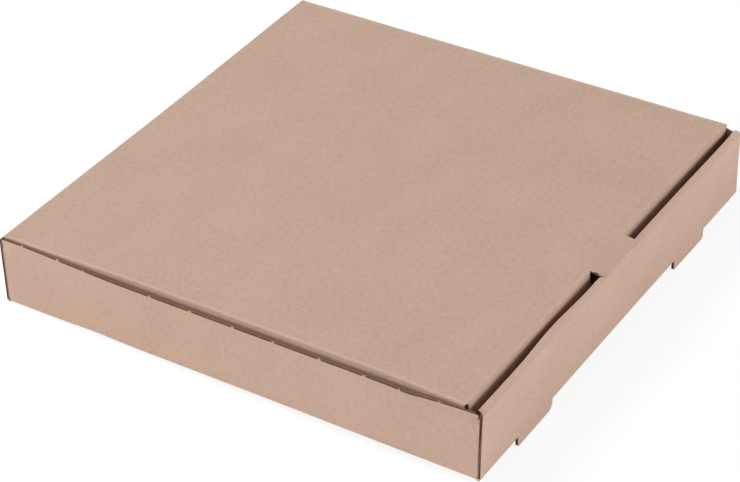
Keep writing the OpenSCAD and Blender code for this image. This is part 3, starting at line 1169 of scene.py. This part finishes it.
# Heights of the relief, in metres
FIBRE_RELIEF = 1.2e-5
MOTTLE_RELIEF = 2.5e-5
WAVE_RELIEF = 6e-6
CORE_RELIEF = 2e-5

# From one range to another: what dark and light fibres cover, what the pale lines and painted fold
# highlights cover, and how rough the paper is
DARK_COVER = (0.70, 0.78, 0, 0.5)
LIGHT_COVER = (0.28, 0.20, 0, 0.4)
PALE_AND_HIGHLIGHT_COVER = (0, 1, 0, 0.8)
LINER_ROUGH = (0.3, 0.7, 0.82, 0.94)
CORE_ROUGH = (0.3, 0.7, 0.90, 1)
LINER_SPECULAR = 0.25
CORE_SPECULAR = 0.10


def kraft_liner():
    """Brown liner paper: mottled fibres, single dark and light ones, a faint washboard whose tone is
    painted shade, and pale lines at the folds with painted highlights.
    """
    material, tree, shader = new_material("kraft_liner")
    sheet = attribute(tree, "sheet").outputs["Vector"]
    fibre, mottle, cloud = (sheet_noise(tree, sheet, *pattern) for pattern in (FIBRE, MOTTLE, CLOUD))
    wave = washboard(tree, sheet)
    # The wave's share of the tone paints shade in the washboard's troughs and light on its crests.
    shares = [(fibre, FIBRE_TONE), (mottle, MOTTLE_TONE), (cloud, CLOUD_TONE), (wave, WAVE_PAINTED_SHADE)]
    colour = tone_ramp(tree, weighted_sum(tree, LINER_START, shares), LINER_TONES)
    strand = sheet_noise(tree, sheet, *STRAND)
    # The crease layer paints pale lines: stretched fibres at folds and nicks, and highlights beside the
    # lid's folds and on the roll.
    fold = attribute(tree, "crease").outputs["Fac"]
    colour = mixed(tree, ranged(tree, strand, DARK_COVER), colour, DARK_FIBRE)
    colour = mixed(tree, ranged(tree, strand, LIGHT_COVER), colour, LIGHT_FIBRE)
    colour = mixed(tree, ranged(tree, fold, PALE_AND_HIGHLIGHT_COVER), colour, PALE_AND_HIGHLIGHT_TONE)
    tree.links.new(colour, shader.inputs["Base Color"])
    tree.links.new(ranged(tree, mottle, LINER_ROUGH), shader.inputs["Roughness"])
    shader.inputs["Specular IOR Level"].default_value = LINER_SPECULAR
    heights = [(fibre, FIBRE_RELIEF), (mottle, MOTTLE_RELIEF), (wave, WAVE_RELIEF)]
    raised(tree, shader, weighted_sum(tree, 0.0, heights))
    return material


def kraft_core():
    """The raw cut edge and the medium: rough paper, darker partly by its own tone and partly by painted
    shade of the flute hollows.
    """
    material, tree, shader = new_material("kraft_core")
    sheet = attribute(tree, "sheet").outputs["Vector"]
    fibre, mottle = (sheet_noise(tree, sheet, *pattern) for pattern in (CORE_FIBRE, CORE_MOTTLE))
    tone = weighted_sum(tree, CORE_START, [(fibre, CORE_FIBRE_TONE), (mottle, CORE_MOTTLE_TONE)])
    tree.links.new(tone_ramp(tree, tone, CORE_AND_SHADE_TONES), shader.inputs["Base Color"])
    tree.links.new(ranged(tree, fibre, CORE_ROUGH), shader.inputs["Roughness"])
    shader.inputs["Specular IOR Level"].default_value = CORE_SPECULAR
    raised(tree, shader, weighted_sum(tree, 0.0, [(fibre, CORE_RELIEF)]))
    return material


# Camera at the photograph's viewing angle, placed from the near bottom corner of the tray
CAMERA_FROM_CORNER = Vector((-0.8312, -0.4676, 0.8198))
CAMERA_AZIMUTH = math.radians(-57.46)
CAMERA_ELEVATION = math.radians(35.08)
CAMERA_ROLL = math.radians(-1.295)
IMAGE_W = 740
FOCAL_PIXELS = 2465.3
SENSOR_MM = 36


def make_camera():
    """The photograph's camera."""
    data = bpy.data.cameras.new("camera")
    data.sensor_width = SENSOR_MM
    data.lens = FOCAL_PIXELS / IMAGE_W * SENSOR_MM
    camera = new_object("camera", data)
    corner = Vector((tray_low.x, tray_low.y, BASE_Z))
    camera.matrix_world = (
        Matrix.Translation(corner + CAMERA_FROM_CORNER)
        @ Matrix.Rotation(CAMERA_AZIMUTH, 4, "Z")
        @ Matrix.Rotation(QUARTER - CAMERA_ELEVATION, 4, "X")
        @ Matrix.Rotation(CAMERA_ROLL, 4, "Z")
    )
    bpy.context.scene.camera = camera


# Floor and light. Light meets a white floor. The camera sees it as a glow that keeps a faint shadow.
FLOOR_HALF = 6.0
FLOOR_WHITE = 0.90
FLOOR_SHADE = 0.13
FLOOR_GLOW = 0.89
WORLD_LEVEL = 0.15
LAMP_DISTANCE = 5.0

# Name, azimuth and elevation in degrees, width in metres, and level: what a white card facing it shows
LAMPS = (
    ("back_lamp", -158, 50, 2.7, 0.85),
    ("left_lamp", -104, 12, 2.0, 0.33),
    ("front_lamp", 8, 14, 3.0, 0.68),
)


def seen_directly(tree):
    """Socket that is 1 for what the camera sees straight, in a mirror or through glass."""
    path = tree.nodes.new("ShaderNodeLightPath")
    seen = path.outputs["Is Camera Ray"]
    for name in ("Is Glossy Ray", "Is Transmission Ray"):
        both = tree.nodes.new("ShaderNodeMath")
        both.operation = "MAXIMUM"
        tree.links.new(seen, both.inputs[0])
        tree.links.new(path.outputs[name], both.inputs[1])
        seen = both.outputs[0]
    return seen


def make_floor():
    """A pale floor through the feet and the rear bottom crease that the box stands on."""
    slope = FOOT_DROP / BOX_D
    mesh = bpy.data.meshes.new("floor")
    corners = [(-1, -1), (1, -1), (1, 1), (-1, 1)]
    points = [(x * FLOOR_HALF, y * FLOOR_HALF) for x, y in corners]
    mesh.from_pydata([(x, y, (y - tray_low.y) * slope) for x, y in points], [], [[0, 1, 2, 3]])
    floor = new_object("floor", mesh)
    material, tree, shader = new_material("floor")
    seen = seen_directly(tree)
    tree.links.new(ranged(tree, seen, (0, 1, FLOOR_WHITE, FLOOR_SHADE)), shader.inputs["Base Color"])
    shader.inputs["Roughness"].default_value = 1
    shader.inputs["Specular IOR Level"].default_value = 0
    shader.inputs["Emission Color"].default_value = (1, 1, 1, 1)
    tree.links.new(ranged(tree, seen, (0, 1, 0, FLOOR_GLOW)), shader.inputs["Emission Strength"])
    mesh.materials.append(material)


def make_lamp(name, azimuth, elevation, size, level):
    """A soft lamp that points at the box, with its azimuth counted as the camera's."""
    data = bpy.data.lights.new(name, "AREA")
    data.shape = "DISK"
    data.size = size
    data.energy = level * (math.pi * LAMP_DISTANCE) ** 2
    lamp = new_object(name, data)
    lamp.matrix_world = (
        Matrix.Rotation(math.radians(azimuth), 4, "Z")
        @ Matrix.Rotation(QUARTER - math.radians(elevation), 4, "X")
        @ Matrix.Translation((0, 0, LAMP_DISTANCE))
    )


def make_light():
    """A pale world, white where it is seen, and the lamps."""
    world = bpy.data.worlds.new("studio")
    bpy.context.scene.world = world
    world.use_nodes = True
    tree = world.node_tree
    background = tree.nodes["Background"]
    background.inputs["Color"].default_value = (1, 1, 1, 1)
    level = ranged(tree, seen_directly(tree), (0, 1, WORLD_LEVEL, 1))
    tree.links.new(level, background.inputs["Strength"])
    for lamp in LAMPS:
        make_lamp(*lamp)


# The pieces, with the solids they replace, and their bodies
board_materials = [kraft_liner(), kraft_core()]
tray_piece = tray_board(board_materials)
crease_piece = hinge_crease(board_materials)
lid_piece = lid_board(board_materials)
for piece, node in ((tray_piece, "tray"), (lid_piece, "lid")):
    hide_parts(node)
    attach(piece, node)
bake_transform(crease_piece)

make_camera()
make_floor()
make_light()
bpy.context.scene.view_settings.view_transform = "Standard"
